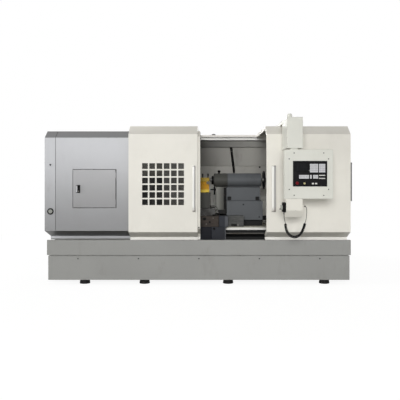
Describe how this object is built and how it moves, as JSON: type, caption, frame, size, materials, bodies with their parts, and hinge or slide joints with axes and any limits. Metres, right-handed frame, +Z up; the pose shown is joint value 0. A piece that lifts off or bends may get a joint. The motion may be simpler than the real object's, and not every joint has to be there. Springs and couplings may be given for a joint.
{
  "type": "flat-bed cnc lathe",
  "caption": "Enclosed flat-bed CNC lathe with a headstock housing, sliding guards, a carriage with a tool post, a tailstock and a control panel on an overhead arm.",
  "frame": {"origin": "on the floor, at the middle of the machine's overall length and depth", "axes": "+X from the headstock to the tailstock along the spindle, +Y from the operator's side to the back, +Z up"},
  "size_m": [3.995, 2.138, 2.139],
  "materials": {
    "base_grey": "satin enamel, a little worn",
    "housing_grey": "satin enamel",
    "inner_grey": "satin enamel",
    "rear_wall_grey": "satin enamel",
    "guard_white": "satin enamel",
    "dark_enamel": "satin enamel, oily",
    "cast_bed": "ground ways on a cast body",
    "ground_steel": "ground",
    "slide_steel": "ground, oily",
    "yellow_steel": "satin",
    "handle_grey": "moulded",
    "black_plastic": "moulded",
    "red_plastic": "moulded",
    "foot_rubber": "matt",
    "cord_black": "satin",
    "tinted_glass": "tinted"
  },
  "bodies": {
    "frame": {"base_body": "base_grey", "base_front_rail": "base_grey", "foot_front_1": "foot_rubber", "foot_front_2": "foot_rubber", "foot_front_3": "foot_rubber", "foot_front_4": "foot_rubber", "foot_rear_1": "foot_rubber", "foot_rear_2": "foot_rubber", "foot_rear_3": "foot_rubber", "foot_rear_4": "foot_rubber", "headstock_housing": "housing_grey", "housing_end_cap": "housing_grey", "headstock_end_wall": "inner_grey", "sight_glass": "black_plastic", "door_rail": "ground_steel", "rear_beam": "guard_white", "rear_channel": "inner_grey", "rear_wall": "rear_wall_grey", "tail_guard": "guard_white", "end_vent_cover": "black_plastic", "bed": "cast_bed", "feed_screw": "ground_steel", "headstock": "dark_enamel", "panel_arm": "housing_grey", "arm_head": "housing_grey", "control_panel": "housing_grey", "control_face": "black_plastic", "stop_button": "red_plastic", "lower_box": "housing_grey", "hand_pendant": "black_plastic", "cord_to_gland": "cord_black", "cord_curly": "cord_black", "cord_to_pendant": "cord_black", "coolant_pipe": "black_plastic"},
    "left_guard": {"left_door": "guard_white", "left_door_window": "tinted_glass", "left_door_handle": "handle_grey"},
    "right_guard": {"right_door": "guard_white", "right_door_handle": "handle_grey"},
    "service_leaf": {"service_door": "housing_grey", "service_latch": "black_plastic"},
    "spindle": {"chuck": "ground_steel"},
    "carriage": {"saddle": "slide_steel", "apron": "dark_enamel"},
    "cross": {"cross_slide": "slide_steel", "tool_post_base": "inner_grey"},
    "turret": {"tool_post": "yellow_steel", "boring_bar": "ground_steel"},
    "tailstock": {"tailstock_body": "dark_enamel", "tailstock_barrel": "dark_enamel", "tailstock_column": "housing_grey", "quill_clamp_knob": "black_plastic"},
    "quill": {"quill": "ground_steel", "live_centre": "ground_steel"},
    "handwheel": {"tailstock_handwheel": "black_plastic"},
    "dial": {"pendant_dial": "ground_steel"}
  },
  "joints": [
    {"name": "left_door_slide", "type": "slide", "parent": "frame", "child": "left_guard", "axis": [1, 0, 0], "range_m": [0, 0.439]},
    {"name": "right_door_slide", "type": "slide", "parent": "frame", "child": "right_guard", "axis": [-1, 0, 0], "range_m": [0, 0.439]},
    {"name": "service_door_swing", "type": "hinge", "parent": "frame", "child": "service_leaf", "pos_m": [-1.0785, -0.488, 1.2275], "axis": [0, 0, 1], "range_deg": [0, 110]},
    {"name": "spindle_turn", "type": "hinge", "parent": "frame", "child": "spindle", "pos_m": [-0.79, 0.196, 1.342], "axis": [1, 0, 0], "continuous": true},
    {"name": "carriage_slide", "type": "slide", "parent": "frame", "child": "carriage", "axis": [-1, 0, 0], "range_m": [0, 0.34]},
    {"name": "cross_slide_feed", "type": "slide", "parent": "carriage", "child": "cross", "axis": [0, 1, 0], "range_m": [-0.08, 0.1]},
    {"name": "tool_post_index", "type": "hinge", "parent": "cross", "child": "turret", "pos_m": [0.01, -0.044, 1.173], "axis": [0, 0, 1], "range_deg": [0, 90]},
    {"name": "tailstock_slide", "type": "slide", "parent": "frame", "child": "tailstock", "axis": [1, 0, 0], "range_m": [0, 0.6]},
    {"name": "quill_slide", "type": "slide", "parent": "tailstock", "child": "quill", "axis": [-1, 0, 0], "range_m": [0, 0.15]},
    {"name": "handwheel_turn", "type": "hinge", "parent": "tailstock", "child": "handwheel", "pos_m": [0.905, 0.196, 1.342], "axis": [-1, 0, 0], "range_deg": [0, 5400]},
    {"name": "pendant_dial_turn", "type": "hinge", "parent": "frame", "child": "dial", "pos_m": [1.0114, -0.989, 1.004], "axis": [-1, 0, 0], "continuous": true}
  ],
  "couplings": [
    {"joint": "quill_slide", "follows": "handwheel_turn", "m_per_rad": 0.00159}
  ]
}
